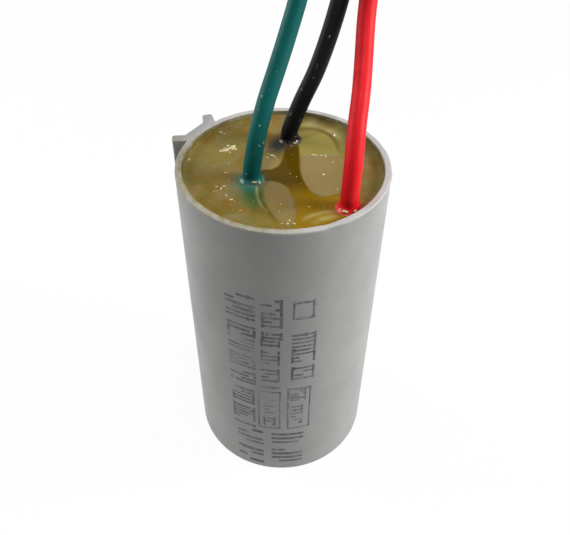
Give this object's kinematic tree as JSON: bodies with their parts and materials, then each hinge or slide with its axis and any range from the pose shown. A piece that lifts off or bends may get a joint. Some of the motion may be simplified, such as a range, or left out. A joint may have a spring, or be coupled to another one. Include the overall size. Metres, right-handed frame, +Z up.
{
  "type": "motor run capacitor",
  "caption": "Round potted film capacitor for running a small motor: grey moulded can with a dovetail rail, amber resin top and flexible insulated leads.",
  "frame": {"origin": "centre of the can's flat foot", "axes": "+Z up along the can's axis towards the resin and the leads, +Y out through the middle of the mounting rail"},
  "size_m": [0.038, 0.0342, 0.157],
  "materials": {
    "can_grey": "fine satin moulded plastic",
    "amber_resin": "glossy cast resin, slightly cloudy",
    "core_plastic": "plain",
    "metallised_film": "rolled film edges",
    "plain_film": "clear yellowish film",
    "sprayed_metal": "rough sprayed",
    "solder": "dull tin",
    "tinned_copper": "tinned strands",
    "green_vinyl": "smooth",
    "black_vinyl": "smooth, lightly scuffed",
    "red_vinyl": "smooth"
  },
  "bodies": {
    "root": {"can": "can_grey", "potting_resin": "amber_resin", "winding_core": "core_plastic", "inner_section": "metallised_film", "divider_wrap": "plain_film", "outer_section": "metallised_film", "outer_wrap": "plain_film", "inner_top_contact": "sprayed_metal", "outer_top_contact": "sprayed_metal", "bottom_contact": "sprayed_metal", "green_joint": "solder", "black_joint": "solder", "red_joint": "solder", "green_wire": "tinned_copper", "black_wire": "tinned_copper", "red_wire": "tinned_copper", "green_potted_sleeve": "green_vinyl", "black_potted_sleeve": "black_vinyl", "red_potted_sleeve": "red_vinyl", "green_lead": "green_vinyl", "black_lead": "black_vinyl", "red_lead": "red_vinyl", "green_tip": "tinned_copper", "black_tip": "tinned_copper", "red_tip": "tinned_copper"}
  },
  "joints": []
}
